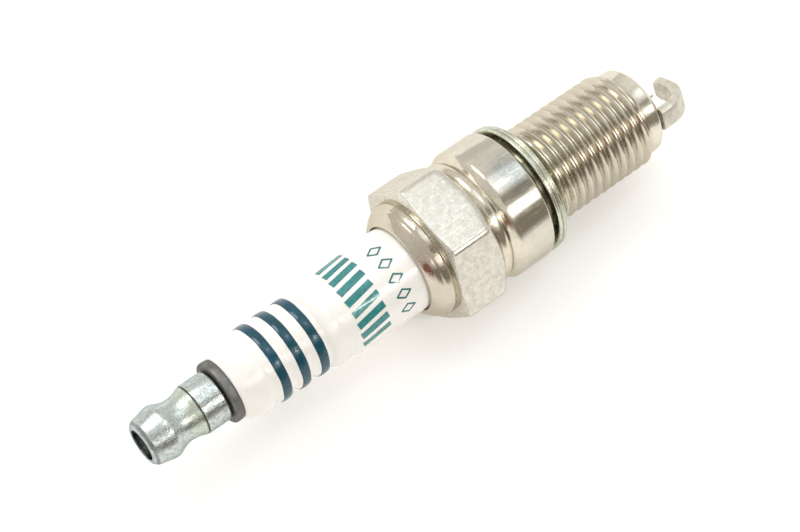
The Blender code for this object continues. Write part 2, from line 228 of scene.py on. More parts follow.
def makeMottle():
    # cloudy patches with a finer crystal spangle, as on plated steel
    tree, given, put = makeGroup("platingMottle", {"Size": 1.0, "Contrast": 1.0},
                                 {"Cloud": "Float", "Spangle": "Float", "Height": "Float"})
    place = plugPlace(tree)
    sized = addNode(tree, "VectorMath", {0: place}, operation="SCALE")
    tree.links.new(given.outputs["Size"], sized.inputs["Scale"])
    where = sized.outputs[0]
    cloud = addNode(tree, "TexNoise", {"Vector": where, "Scale": 0.8, "Detail": 5.0, "Roughness": 0.62})
    fine = addNode(tree, "TexNoise", {"Vector": where, "Scale": 4.5, "Detail": 3.0, "Roughness": 0.6})
    cells = addNode(tree, "TexVoronoi", {"Vector": where, "Scale": 3.2, "Randomness": 1.0})
    grey = addNode(tree, "SeparateColor", {0: cells.outputs["Color"]}).outputs[0]
    centred = mathNode(tree, "SUBTRACT", cloud.outputs[0], 0.5)
    strong = mathNode(tree, "MULTIPLY_ADD", centred, given.outputs["Contrast"], 0.5)
    tree.links.new(spread(tree, strong, 0.3, 0.7), put.inputs["Cloud"])
    mixed = mathNode(tree, "MULTIPLY_ADD", fine.outputs[0], 0.6, mathNode(tree, "MULTIPLY", grey, 0.4))
    tree.links.new(mixed, put.inputs["Spangle"])
    tree.links.new(mathNode(tree, "MULTIPLY_ADD", cloud.outputs[0], 0.7, fine.outputs[0]), put.inputs["Height"])
    return tree


def makeScratches():
    # thin straight handling marks in three directions
    tree, given, put = makeGroup("handlingScratches", {"Width": 0.02, "Amount": 0.5}, {"Mask": "Float"})
    place = plugPlace(tree)
    total = None
    for turn in ((0.3, 0.5, 0.2), (1.4, -0.6, 0.9), (-0.8, 0.2, 2.3)):
        stretched = addNode(tree, "Mapping", {"Vector": place, "Rotation": turn, "Scale": (0.12, 2.2, 2.2)})
        where = stretched.outputs[0]
        lines = addNode(tree, "TexNoise", {"Vector": where, "Scale": 1.0, "Detail": 1.0})
        off = mathNode(tree, "ABSOLUTE", mathNode(tree, "SUBTRACT", lines.outputs[0], 0.5))
        wide = mathNode(tree, "DIVIDE", off, given.outputs["Width"])
        thin = mathNode(tree, "SUBTRACT", 1.0, wide, clamp=True)
        patch = addNode(tree, "TexNoise", {"Vector": where, "Scale": 3.1, "Detail": 0.0}).outputs[0]
        kept = mathNode(tree, "MULTIPLY", thin, spread(tree, patch, 0.5, 0.62))
        total = kept if total is None else mathNode(tree, "MAXIMUM", total, kept)
    tree.links.new(mathNode(tree, "MULTIPLY", total, given.outputs["Amount"]), put.inputs["Mask"])
    return tree


def makeTurnedGrain():
    # fine rings left by the lathe, square to the axis
    tree, given, put = makeGroup("turnedGrain", {"Fineness": 6.0}, {"Height": "Float"})
    station = addNode(tree, "SeparateXYZ", {0: plugPlace(tree)}).outputs[0]
    coarse = addNode(tree, "TexNoise", {"W": station, "Detail": 3.0, "Roughness": 0.7}, noise_dimensions="1D")
    tree.links.new(given.outputs["Fineness"], coarse.inputs["Scale"])
    tree.links.new(coarse.outputs[0], put.inputs["Height"])
    return tree


def makeAxisZone():
    # masks by station and by radius: belts of colour along the plug, and how far a point stands out from the
    # thread's root, which drives the painted shade in the thread's roots
    tree, given, put = makeGroup("axisZone", {"Centre": 0.0, "Reach": 1.0, "Inner": 5.4, "Outer": 6.0},
                                 {"Belt": "Float", "Rise": "Float"})
    parts = addNode(tree, "SeparateXYZ", {0: plugPlace(tree)})
    away = mathNode(tree, "ABSOLUTE", mathNode(tree, "SUBTRACT", parts.outputs[0], given.outputs["Centre"]))
    belt = mathNode(tree, "SUBTRACT", 1.0, mathNode(tree, "DIVIDE", away, given.outputs["Reach"]), clamp=True)
    tree.links.new(spread(tree, belt, 0.0, 0.6), put.inputs["Belt"])
    flat = addNode(tree, "CombineXYZ", {0: 0.0, 1: parts.outputs[1], 2: parts.outputs[2]})
    radius = addNode(tree, "VectorMath", {0: flat.outputs[0]}, operation="LENGTH").outputs["Value"]
    over = mathNode(tree, "SUBTRACT", radius, given.outputs["Inner"])
    span = mathNode(tree, "SUBTRACT", given.outputs["Outer"], given.outputs["Inner"])
    tree.links.new(mathNode(tree, "DIVIDE", over, span, clamp=True), put.inputs["Rise"])
    return tree


mottleGroup = makeMottle()
scratchGroup = makeScratches()
grainGroup = makeTurnedGrain()
zoneGroup = makeAxisZone()
print("node groups ready")


def newMaterial(name):
    material = bpy.data.materials.new(name)
    material.use_nodes = True
    tree = material.node_tree
    return material, tree, tree.nodes["Principled BSDF"]


def platedMetal(name, look):
    # one recipe for every plated or bright metal; each finish brings its own values
    material, tree, shader = newMaterial(name)
    mottle = useGroup(tree, mottleGroup, Size=look["patch"], Contrast=look["contrast"])
    scratches = useGroup(tree, scratchGroup, Width=look["scratchWidth"], Amount=look["scratches"])
    grain = useGroup(tree, grainGroup, Fineness=look["grain"])
    colour = mixColour(tree, mottle.outputs["Cloud"], look["dark"], look["light"])
    spangle = spread(tree, mottle.outputs["Spangle"], 0.35, 0.65, 0.0, look["spangle"])
    colour = mixColour(tree, spangle, colour, look["flash"])
    # belts of colour round the plug at given stations; some of them are painted shade and painted highlight,
    # noted where each finish lists them
    for belt in look.get("belts", ()):
        zone = useGroup(tree, zoneGroup, Centre=belt["centre"], Reach=belt["reach"])
        amount = mathNode(tree, "MULTIPLY", zone.outputs["Belt"], belt["amount"])
        if belt.get("patchy"):
            amount = mathNode(tree, "MULTIPLY", amount, mottle.outputs["Spangle"])
        colour = mixColour(tree, amount, colour, belt["colour"])
    # round patches of colour at one place on the plug; the nickel's are painted reflections
    for spot in look.get("spots", ()):
        turn = math.radians(spot["turn"])
        middle = (spot["station"], spot["radius"] * math.sin(turn), spot["radius"] * math.cos(turn))
        away = addNode(tree, "VectorMath", {0: plugPlace(tree), 1: middle}, operation="DISTANCE")
        core = spot["size"] * 0.4
        amount = spread(tree, away.outputs["Value"], core, spot["size"], spot["amount"], 0.0)
        amount = mathNode(tree, "MULTIPLY", amount, mottle.outputs["Spangle"], clamp=True)
        colour = mixColour(tree, amount, colour, spot["colour"])
    rough = spread(tree, mottle.outputs["Cloud"], 0.0, 1.0, look["roughHigh"], look["roughLow"])
    # painted shade: the thread's roots are darkened to a brown, a little patchy, where shade falls between the
    # crests; the roughness rises there too
    if "hollowShade" in look:
        hollowShade = look["hollowShade"]
        zone = useGroup(tree, zoneGroup, Inner=hollowShade["inner"], Outer=hollowShade["outer"],
                        Centre=hollowShade["centre"], Reach=hollowShade["reach"])
        deep = mathNode(tree, "SUBTRACT", 1.0, zone.outputs["Rise"], clamp=True)
        deep = mathNode(tree, "MULTIPLY", deep, zone.outputs["Belt"])
        uneven = mathNode(tree, "MULTIPLY_ADD", mottle.outputs["Cloud"], 0.4, 0.6)
        rootShade = mathNode(tree, "MULTIPLY", deep, uneven)
        amount = mathNode(tree, "MULTIPLY", rootShade, hollowShade["amount"])
        colour = mixColour(tree, amount, colour, hollowShade["colour"])
        rough = mathNode(tree, "MULTIPLY_ADD", rootShade, 0.2, rough)
    colour = mixColour(tree, scratches.outputs["Mask"], colour, look["scratchColour"])
    rough = mathNode(tree, "MULTIPLY_ADD", scratches.outputs["Mask"], 0.25, rough)
    tree.links.new(colour, shader.inputs["Base Color"])
    tree.links.new(rough, shader.inputs["Roughness"])
    shader.inputs["Metallic"].default_value = look.get("metallic", 1.0)
    shader.inputs["Specular Tint"].default_value = (*look["edgeTint"], 1)
    height = mathNode(tree, "MULTIPLY_ADD", grain.outputs[0], look["grainHeight"],
                      mathNode(tree, "MULTIPLY", mottle.outputs["Height"], look["mottleHeight"]))
    height = mathNode(tree, "SUBTRACT", height, mathNode(tree, "MULTIPLY", scratches.outputs["Mask"], 0.5))
    bump = addNode(tree, "Bump", {"Strength": 1.0, "Distance": look["depth"] * mm, "Height": height})
    tree.links.new(bump.outputs[0], shader.inputs["Normal"])
    return material


nickelLook = {
    "light": (0.64, 0.59, 0.49), "dark": (0.58, 0.53, 0.43), "flash": (0.72, 0.68, 0.60), "spangle": 0.25,
    "edgeTint": (0.82, 0.80, 0.75), "patch": 0.9, "contrast": 1.3,
    "scratches": 0.45, "scratchWidth": 0.012, "scratchColour": (0.85, 0.83, 0.78),
    "grain": 3.0, "grainHeight": 0.5, "mottleHeight": 0.6, "depth": 0.006,
    "roughLow": 0.08, "roughHigh": 0.17,
    # painted shade in the thread's roots, between the crests
    "hollowShade": {"inner": 5.38, "outer": 6.0, "centre": 9.8, "reach": 8.4, "amount": 0.5,
               "colour": (0.32, 0.27, 0.19)},
    "belts": [
        # painted shade: a darker tone over the whole thread
        {"centre": 9.8, "reach": 8.4, "amount": 0.4, "colour": (0.47, 0.43, 0.35)},
        # painted highlight: a lighter tone round the thread's end and the nose
        {"centre": 18.0, "reach": 1.5, "amount": 0.45, "colour": (0.78, 0.75, 0.67)},
        {"centre": -2.2, "reach": 2.9, "amount": 0.4, "colour": (0.55, 0.545, 0.51)},
        # painted reflection: a dark brown band round the crimp
        {"centre": -14.9, "reach": 1.6, "amount": 0.55, "colour": (0.47, 0.42, 0.33)},
    ],
    "spots": [
        # painted reflection: a cool grey patch on the flange's top
        {"station": -1.5, "turn": -3, "radius": 8.1, "size": 3.4,
         "amount": 1.3, "colour": (0.38, 0.395, 0.385)},
        # painted reflection: a reddish-brown patch on the crimp
        {"station": -15.1, "turn": -24, "radius": 6.6, "size": 2.6,
         "amount": 0.8, "colour": (0.40, 0.31, 0.26)},
    ],
}
flatLook = dict(nickelLook, light=(0.63, 0.60, 0.53), dark=(0.55, 0.515, 0.445), flash=(0.70, 0.68, 0.63),
                spangle=0.35, patch=1.6, contrast=1.5, scratches=0.6, scratchWidth=0.014, roughLow=0.2,
                roughHigh=0.32, mottleHeight=0.9, depth=0.007)
for key in ("hollowShade", "belts", "spots"):
    flatLook.pop(key)
zincLook = {
    "light": (0.51, 0.555, 0.545), "dark": (0.35, 0.39, 0.38), "flash": (0.68, 0.72, 0.71), "spangle": 0.4,
    "edgeTint": (0.6, 0.64, 0.63),
    "patch": 2.2, "contrast": 1.7,
    "scratches": 0.7, "scratchWidth": 0.02, "scratchColour": (0.55, 0.57, 0.56),
    "grain": 4.0, "grainHeight": 0.8, "mottleHeight": 1.6, "depth": 0.010,
    "roughLow": 0.12, "roughHigh": 0.30,
    "belts": [
        {"centre": noseStation + 5.9, "reach": 1.3, "amount": 0.55, "patchy": True,
         "colour": (0.62, 0.66, 0.44)},
        {"centre": noseStation + 4.2, "reach": 0.7, "amount": 0.35, "patchy": True,
         "colour": (0.60, 0.72, 0.66)},
        {"centre": noseStation + 0.28, "reach": 0.22, "amount": 0.8, "colour": (0.20, 0.21, 0.22)},
        # painted shade: a near-black line in the groove at the waist
        {"centre": noseStation + 6.6, "reach": 0.16, "amount": 0.9, "colour": (0.12, 0.14, 0.12)},
    ],
}
gasketLook = dict(zincLook, light=(0.64, 0.65, 0.55), dark=(0.50, 0.50, 0.39), flash=(0.76, 0.77, 0.70),
                  patch=1.0, spangle=0.3, contrast=1.4, scratches=0.4, grainHeight=0.5, mottleHeight=0.9,
                  roughLow=0.16, roughHigh=0.3)
gasketLook.pop("belts")
collarLook = {
    "light": (0.185, 0.18, 0.17), "dark": (0.14, 0.138, 0.132), "flash": (0.25, 0.25, 0.24), "spangle": 0.25,
    "edgeTint": (0.6, 0.6, 0.58),
    "patch": 1.4, "contrast": 1.2,
    "scratches": 0.3, "scratchWidth": 0.015, "scratchColour": (0.34, 0.34, 0.33),
    "grain": 5.0, "grainHeight": 0.5, "mottleHeight": 0.8, "depth": 0.006,
    "roughLow": 0.38, "roughHigh": 0.5, "metallic": 0.85,
}
electrodeLook = {
    "light": (0.70, 0.67, 0.59), "dark": (0.60, 0.565, 0.48), "flash": (0.76, 0.74, 0.70), "spangle": 0.3,
    "edgeTint": (0.7, 0.68, 0.62),
    "patch": 1.2, "contrast": 1.5,
    "scratches": 0.5, "scratchWidth": 0.02, "scratchColour": (0.74, 0.73, 0.70),
    "grain": 4.0, "grainHeight": 0.4, "mottleHeight": 1.8, "depth": 0.012,
    "roughLow": 0.28, "roughHigh": 0.42,
}
weldLook = dict(electrodeLook, light=(0.58, 0.54, 0.48), dark=(0.34, 0.31, 0.30), flash=(0.55, 0.50, 0.52),
                contrast=2.2, depth=0.03, patch=2.4)
iridiumLook = dict(electrodeLook, light=(0.74, 0.73, 0.72), dark=(0.62, 0.61, 0.60), depth=0.003, patch=4.0,
                   roughLow=0.22, roughHigh=0.32)
copperLook = dict(electrodeLook, light=(0.80, 0.42, 0.28), dark=(0.62, 0.30, 0.20), flash=(0.90, 0.55, 0.40))
ringLook = dict(electrodeLook, light=(0.40, 0.40, 0.41), dark=(0.28, 0.28, 0.29), flash=(0.5, 0.5, 0.5))
nickel = platedMetal("nickelPlate", nickelLook)
nickelFlat = platedMetal("nickelFlats", flatLook)
zinc = platedMetal("zincPlate", zincLook)
gasketZinc = platedMetal("gasketZinc", gasketLook)
collarSteel = platedMetal("darkSteel", collarLook)
electrodeMetal = platedMetal("electrodeNickel", electrodeLook)
weldMetal = platedMetal("weldMetal", weldLook)
iridiumMetal = platedMetal("iridium", iridiumLook)
copperMetal = platedMetal("copper", copperLook)
ringSteel = platedMetal("packingSteel", ringLook)


def glazed(name, look):
    # fired glaze: a hard clear coat over a slightly uneven body
    material, tree, shader = newMaterial(name)
    mottle = useGroup(tree, mottleGroup, Size=look["patch"], Contrast=look["contrast"])
    colour = mixColour(tree, mottle.outputs["Cloud"], look["dark"], look["light"])
    start = look["speckFrom"]
    specks = spread(tree, mottle.outputs["Spangle"], start, start + 0.04, 0.0, look["specks"])
    colour = mixColour(tree, specks, colour, look["speckColour"])
    tree.links.new(colour, shader.inputs["Base Color"])
    tree.links.new(spread(tree, mottle.outputs["Cloud"], 0.0, 1.0, look["roughHigh"], look["roughLow"]),
                   shader.inputs["Roughness"])
    shader.inputs["Coat Weight"].default_value = look["coat"]
    shader.inputs["Specular IOR Level"].default_value = look.get("specular", 0.5)
    shader.inputs["Coat Roughness"].default_value = look["coatRoughness"]
    bump = addNode(tree, "Bump", {"Strength": 1.0, "Distance": look["depth"] * mm,
                                  "Height": mottle.outputs["Height"]})
    tree.links.new(bump.outputs[0], shader.inputs["Normal"])
    return material


ceramicLook = {
    "light": (0.86, 0.835, 0.80), "dark": (0.83, 0.80, 0.76),
    "speckColour": (0.62, 0.58, 0.52), "specks": 0.25, "speckFrom": 0.72,
    "patch": 0.5, "contrast": 1.0, "roughLow": 0.16, "roughHigh": 0.24,
    "coat": 0.7, "coatRoughness": 0.04, "depth": 0.004,
}
enamelLook = {
    "light": (0.005, 0.060, 0.100), "dark": (0.004, 0.048, 0.070),
    "speckColour": (0.012, 0.10, 0.13), "specks": 0.4, "speckFrom": 0.6,
    "patch": 1.3, "contrast": 1.6, "roughLow": 0.05, "roughHigh": 0.1,
    "coat": 0.0, "coatRoughness": 0.02, "depth": 0.012, "specular": 0.45,
}
inkLook = {
    "light": (0.011, 0.205, 0.212), "dark": (0.014, 0.160, 0.150),
    "speckColour": (0.06, 0.30, 0.30), "specks": 0.4, "speckFrom": 0.58,
    "patch": 1.4, "contrast": 1.8, "roughLow": 0.25, "roughHigh": 0.4,
    "coat": 0.5, "coatRoughness": 0.1, "depth": 0.004,
}
fineInkLook = dict(inkLook, light=(0.012, 0.155, 0.160), dark=(0.014, 0.115, 0.110),
                   speckColour=(0.05, 0.24, 0.24))
sealLook = dict(inkLook, light=(0.22, 0.20, 0.18), dark=(0.12, 0.11, 0.10), speckColour=(0.6, 0.32, 0.18),
                specks=0.8, depth=0.02)
resistorLook = dict(sealLook, light=(0.10, 0.10, 0.10), dark=(0.05, 0.05, 0.05), speckColour=(0.3, 0.3, 0.3),
                    coat=0.0)
talcLook = dict(sealLook, light=(0.78, 0.77, 0.74), dark=(0.66, 0.65, 0.62), speckColour=(0.9, 0.9, 0.88),
                coat=0.0, roughLow=0.85, roughHigh=0.95)
ceramic = glazed("ceramicGlaze", ceramicLook)
enamel = glazed("ringEnamel", enamelLook)
boldInk = glazed("boldInk", inkLook)
fineInk = glazed("fineInk", fineInkLook)
sealGlass = glazed("sealGlass", sealLook)
resistorMix = glazed("resistorMix", resistorLook)
talc = glazed("talcPowder", talcLook)
print("materials ready:", len(bpy.data.materials))

# Shell: crimped lip, neck, bead, flange, screw thread and bored nose
shellSizes = {
    "steps": 144, "crimp": -15.9, "flange": 8.1, "nose": 5.36,
    "thread": {"pitch": 1.25, "crest": 6.0, "root": 5.38, "firstCrest": 3.38, "start": 2.75, "end": 16.9,
               "fade": 1.1},
}


def makeShell(sizes):
    crimp, flange, thread = sizes["crimp"], sizes["flange"], sizes["thread"]
    around = [(thread["start"] - 0.15, thread["root"]), (0, thread["root"], 0.15), (0, flange - 0.3, 0.06),
              (-0.3, flange, 0.14), (-4.65, flange, 0.3), (-5.15, 7.62, 0.2), (-5.42, 7.28, 0.1),
              (-5.9, 7.5, 0.2), (-6.3, 7.58, 0.3), (-6.75, 7.45, 0.2), (-7.0, 7.2, 0.15),
              (-13.2, 7.1, 0.1), (-13.55, 7.05, 0.08), (-13.72, 7.16, 0.1), (-14.35, 7.06, 0.2),
              (-14.62, 6.84, 0.1), (-14.78, 6.78, 0.08), (-15.05, 6.62, 0.16), (-15.55, 6.12, 0.3),
              (crimp, 5.68, 0.18), (crimp + 0.03, 5.36, 0.1), (crimp + 1.2, 5.26, 0.2)]
    inner = [(-13.4, 6.0, 0.1), (-2.4, 6.0, 0.2), (-1.0, 4.45, 0.2), (6.6, 4.45, 0.2), (8.0, 3.95, 0.2),
             (reach - 1.4, 3.85, 0.2), (reach, 4.15, 0.1), (reach, sizes["nose"] - 0.45, 0.08),
             (reach - 0.5, sizes["nose"], 0.12), (thread["end"] + 0.15, sizes["nose"])]
    bm = bmesh.new()
    spinOutline(bm, softCorners(around + inner), sizes["steps"], closed=False)
    screwTube(bm, thread, sizes["steps"])
    bridgeNear(bm, thread["start"])
    bridgeNear(bm, thread["end"])
    bmesh.ops.recalc_face_normals(bm, faces=bm.faces)
    return newObject("shellBody", bm, 32)


finishPiece(makeShell(shellSizes), nickel, "plug", "shell_nickel", "metal_shell")

# Hexagon: six flats with turned-off corners, chamfered at the crimp and rounded off at the neck
hexagonSizes = {"steps": 360, "acrossFlats": 16.0, "overCorners": 18.2, "top": -13.35, "bottom": -7.0,
                "coneRadius": 7.75, "coneRise": 0.24, "inside": 6.4}


def hexagonOutline(sizes, turn):
    share = (turn + math.pi / 6) % (math.pi / 3) - math.pi / 6
    edge = min(sizes["acrossFlats"] / 2 / math.cos(share), sizes["overCorners"] / 2)
    climb = (edge - sizes["coneRadius"]) * sizes["coneRise"]
    top, bottom = sizes["top"], sizes["bottom"]
    points = [(top, sizes["inside"]), (top, sizes["coneRadius"], 0.12), (top + climb, edge, 0.16),
              (bottom - climb * 1.3 - 0.45, edge, 0.9), (bottom, sizes["coneRadius"] - 0.1, 0.6),
              (bottom + 0.05, sizes["inside"])]
    return softCorners(points, 6)


def makeHexagon(sizes):
    bm = bmesh.new()
    row = bm.verts.layers.int.new("row")
    outline = hexagonOutline(sizes, 0)
    rim = []
    for k, (s, r) in enumerate(outline):
        rim.append(bm.verts.new(onPlug(s, r, 0)))
        rim[-1][row] = k
    edges = [bm.edges.new((rim[k], rim[(k + 1) % len(rim)])) for k in range(len(rim))]
    bmesh.ops.spin(bm, geom=rim + edges, cent=axisPoint, axis=(1, 0, 0), angle=math.tau,
                   steps=sizes["steps"], use_merge=True)
    for v in bm.verts:
        turn = math.atan2(v.co.y, v.co.z - axisZ)
        s, r = hexagonOutline(sizes, turn)[v[row]]
        v.co = onPlug(s, r, turn)
    bmesh.ops.recalc_face_normals(bm, faces=bm.faces)
    return newObject("hexagon", bm, 20)


finishPiece(makeHexagon(hexagonSizes), nickelFlat, "plug", "shell_nickel", "metal_shell")
print("shell and hexagon made")

# Gasket: one strip folded into an S and pressed flat
gasketStart = (gasketLow.x - seatX) / mm
gasketFolds = [(0.0, 6.1, 0.1), (0.0, 7.66, 0.16), (0.12, 7.99, 0.14), (0.44, 8.0, 0.14), (0.56, 7.7, 0.05),
               (0.64, 7.7, 0.05), (0.76, 7.92, 0.1), (1.0, 7.9, 0.1), (1.12, 7.56, 0.06), (1.2, 7.54, 0.06),
               (1.32, 7.66, 0.1), (1.5, 7.45, 0.12), (1.5, 6.2, 0.12), (1.32, 5.72, 0.1), (0.18, 5.72, 0.1)]
gasketPiece = turned("foldedGasket", [(gasketStart + s, r, soft) for s, r, soft in gasketFolds], 160)
finishPiece(gasketPiece, gasketZinc, "gasket", "gasket_zinc", "gasket")

# Insulator: bulb head, three ribs, a larger rounded rib, the plain barrel, shoulder and long nose
insulatorSizes = {"steps": 144, "head": -39.7, "firstRib": -34.75, "ribPitch": 2.53, "ribs": 3, "swell": -27.36,
                  "barrel": 5.2, "foot": 20.5}


def makeInsulator(sizes):
    head, barrel = sizes["head"], sizes["barrel"]
    points = [(head, 2.0), (head, 3.72, 0.12), (head + 0.3, 3.95, 0.2), (head + 1.3, 4.42, 0.6),
              (head + 2.4, 4.7, 0.6), (head + 3.1, 4.68, 0.4)]
    half = sizes["ribPitch"] / 2
    for k in range(sizes["ribs"]):
        rib = sizes["firstRib"] + k * sizes["ribPitch"]
        points += [(rib - half, 4.38, 0.22), (rib - 0.6, 4.6, 0.12), (rib, 4.64, 0.3), (rib + 0.6, 4.6, 0.12)]
    swell = sizes["swell"]
    points += [(swell - half, 4.4, 0.22), (swell - 0.72, 4.86, 0.3), (swell, 5.06, 0.4),
               (swell + 0.5, 5.03, 0.2), (swell + 0.95, 4.85, 0.2), (swell + 1.4, 4.9, 0.2),
               (swell + 2.4, barrel, 0.9),
               (-13.6, barrel, 0.2), (-11.6, 5.9, 0.4), (-3.0, 5.9, 0.4), (-2.0, 4.3, 0.4), (5.3, 4.3, 0.3),
               (6.2, 3.45, 0.3), (14.5, 2.55, 0.8), (sizes["foot"] - 0.4, 2.15, 0.35),
               (sizes["foot"], 1.85, 0.2), (sizes["foot"], 1.32, 0.08), (2.7, 1.3, 0.1), (2.6, 2.0, 0.1)]
    return turned("insulatorBody", points, sizes["steps"], smoothAngle=28)


finishPiece(makeInsulator(insulatorSizes), ceramic, "plug", "ceramic_glaze", "insulator")

# Enamel rings: a thick glossy coat laid on each rib, its edges a little uneven
ringSizes = {"steps": 160, "halfWidth": 0.57, "under": 4.56, "edge": 4.68, "crown": 4.75, "wander": 0.05,
             "waves": 2.2}


def makeRing(number, sizes):
    rib = insulatorSizes["firstRib"] + (number - 1) * insulatorSizes["ribPitch"]
    half, edge, crown = sizes["halfWidth"], sizes["edge"], sizes["crown"]
    oneSide = [(half, sizes["under"]), (half - 0.02, edge, 0.06), (0.25, crown, 0.2)]
    points = [(rib - s, *rest) for s, *rest in oneSide] + [(rib + s, *rest) for s, *rest in reversed(oneSide)]
    ring = turned("enamelRing%d" % number, points, sizes["steps"], smoothAngle=50)
    for v in ring.data.vertices:
        turn = math.atan2(v.co.y, v.co.z - axisZ)
        side = (v.co.x - seatX) / mm - rib
        seed = (number - 1) * 7 + (3 if side > 0 else 0)
        wave = noise.noise(Vector((math.cos(turn) * sizes["waves"], math.sin(turn) * sizes["waves"], seed)))
        v.co.x += wave * sizes["wander"] * mm * min(1, abs(side) / 0.5)
    return ring


for number in range(1, insulatorSizes["ribs"] + 1):
    finishPiece(makeRing(number, ringSizes), enamel, "plug", "enamel", "enamel_band_%d" % number)
print("insulator and rings made")

# Print on the barrel: two plain rows of strokes, laid on the glaze. Each stroke is
# (station, arc) to (station, arc) in mm, and its width; arc 0 is straight up, towards +Y positive.
printSizes = {"lift": 0.012, "thick": 0.02}
boldStrokes = [((-24.7, 3.9), (-21.4, 4.5), 0.75), ((-24.7, 2.5), (-21.4, 3.1), 0.75),
               ((-24.75, 1.2), (-23.2, 1.48), 0.8), ((-22.85, 1.55), (-21.35, 1.82), 0.8),
               ((-24.75, -0.2), (-21.4, 0.4), 0.85), ((-24.75, -1.6), (-21.4, -1.0), 0.85),
               ((-24.75, -3.0), (-23.2, -2.72), 0.8), ((-22.85, -2.65), (-21.35, -2.38), 0.8),
               ((-24.75, -4.4), (-21.4, -3.8), 0.85), ((-24.75, -5.8), (-21.4, -5.2), 0.85),
               ((-24.75, -7.2), (-23.2, -6.92), 0.75), ((-22.85, -6.85), (-21.4, -6.58), 0.75)]
diamonds = {"count": 5, "first": 1.7, "pitch": 1.95, "left": -19.55, "right": -17.75, "half": 0.55,
            "line": 0.2}
fineStrokes = []
for k in range(diamonds["count"]):
    arc = diamonds["first"] - diamonds["pitch"] * k
    middle = (diamonds["left"] + diamonds["right"]) / 2
    corners = [(diamonds["left"], arc), (middle, arc + diamonds["half"]), (diamonds["right"], arc),
               (middle, arc - diamonds["half"])]
    for j in range(4):
        fineStrokes.append((corners[j], corners[(j + 1) % 4], diamonds["line"]))


def makePrint(name, strokes, sizes):
    bm = bmesh.new()
    barrel = insulatorSizes["barrel"] + sizes["lift"]
    for first, last, width in strokes:
        a, b = Vector((*first, 0)), Vector((*last, 0))
        along = (b - a).normalized()
        made = bmesh.ops.create_grid(bm, x_segments=8, y_segments=4, size=0.5)["verts"]
        frameOf = Matrix((along, Vector((-along.y, along.x, 0)), Vector((0, 0, 1)))).transposed().to_4x4()
        place = Matrix.Translation((a + b) / 2) @ frameOf
        size = Matrix.Diagonal(((b - a).length + width * 0.5, width, 1, 1))
        bmesh.ops.transform(bm, matrix=place @ size, verts=made)
    walls = bmesh.ops.extrude_face_region(bm, geom=bm.faces[:])["geom"]
    top = [v for v in walls if isinstance(v, bmesh.types.BMVert)]
    bmesh.ops.translate(bm, verts=top, vec=(0, 0, sizes["thick"]))
    for v in bm.verts:
        v.co = onPlug(v.co.x, barrel - sizes["thick"] / 2 + v.co.z, v.co.y / insulatorSizes["barrel"])
    bmesh.ops.recalc_face_normals(bm, faces=bm.faces)
    return newObject(name, bm, 40)


finishPiece(makePrint("boldMarks", boldStrokes, printSizes), boldInk, "plug", "enamel")
finishPiece(makePrint("fineMarks", fineStrokes, printSizes), fineInk, "plug", "enamel")

# Terminal stud: threaded end, collar on the ceramic, shank in the bore
studSizes = {"steps": 96, "tip": -48.2, "collarBack": -39.73, "collarThick": 1.05, "collar": 3.72,
             "shank": 1.95, "shankEnd": -12,
             "thread": {"pitch": 0.7, "crest": 2.0, "root": 1.62, "firstCrest": -47.4, "start": -47.75,
                        "end": -41.25, "fade": 1.6}}


def makeStud(sizes):
    thread, back = sizes["thread"], sizes["collarBack"]
    front = back - sizes["collarThick"]
    bm = bmesh.new()
    tip = [(sizes["tip"], 0), (sizes["tip"], 1.35, 0.08), (thread["start"] - 0.1, thread["root"])]
    collar, shank, shankEnd = sizes["collar"], sizes["shank"], sizes["shankEnd"]
    body = [(thread["end"] + 0.1, thread["root"]), (front, thread["root"], 0.08), (front, collar - 0.08, 0.2),
            (front + 0.25, collar, 0.2), (back - 0.25, collar, 0.2), (back, collar - 0.08, 0.1),
            (back, shank, 0.1), (shankEnd - 4, shank, 0.2), (shankEnd - 3.5, 1.7, 0.2), (shankEnd, 1.7, 0.1),
            (shankEnd, 0)]
    spinOutline(bm, softCorners(tip), sizes["steps"], closed=False)
    spinOutline(bm, softCorners(body), sizes["steps"], closed=False)
    screwTube(bm, thread, sizes["steps"])
    bridgeNear(bm, thread["start"], 0.4)
    bridgeNear(bm, thread["end"], 0.4)
    bmesh.ops.recalc_face_normals(bm, faces=bm.faces)
    return newObject("terminalStud", bm, 32)


finishPiece(makeStud(studSizes), collarSteel, "plug", "stud_steel", "terminal_stud")

# Terminal nut: nose with its hole, cone to the bulge, waist and plain base
nutShape = [(0, 1.86, 0.06), (0, 2.34, 0.07), (0.46, 2.74, 0.1), (2.05, 3.1, 0.25), (2.6, 3.175, 0.25),
            (2.95, 3.14, 0.2), (3.5, 2.86, 0.3), (4.2, 2.6, 0.5), (5.0, 2.55, 0.5), (5.8, 2.68, 0.4),
            (6.53, 2.98, 0.06), (6.59, 2.86, 0.03), (6.66, 2.86, 0.03), (6.72, 3.02, 0.05), (9.42, 3.02, 0.1),
            (9.62, 2.85, 0.08), (9.62, 2.3, 0.1), (9.3, 2.08, 0.1)]
nutBore = {"start": 9.0, "halfPitch": 0.35, "crest": 2.08, "root": 2.3, "mouth": 1.86, "halfTurns": 21}
grooves = [(nutBore["start"] - nutBore["halfPitch"] * k, nutBore["crest" if k % 2 else "root"], 0.06)
           for k in range(nutBore["halfTurns"])]
nutPoints = nutShape + grooves + [(1.6, nutBore["crest"], 0.1), (1.2, nutBore["mouth"], 0.1)]
nutPiece = turned("terminalNut", [(noseStation + s, r, soft) for s, r, soft in nutPoints], 128)
finishPiece(nutPiece, zinc, "terminal_nut", "terminal_zinc", "terminal_nut")
print("terminal made")

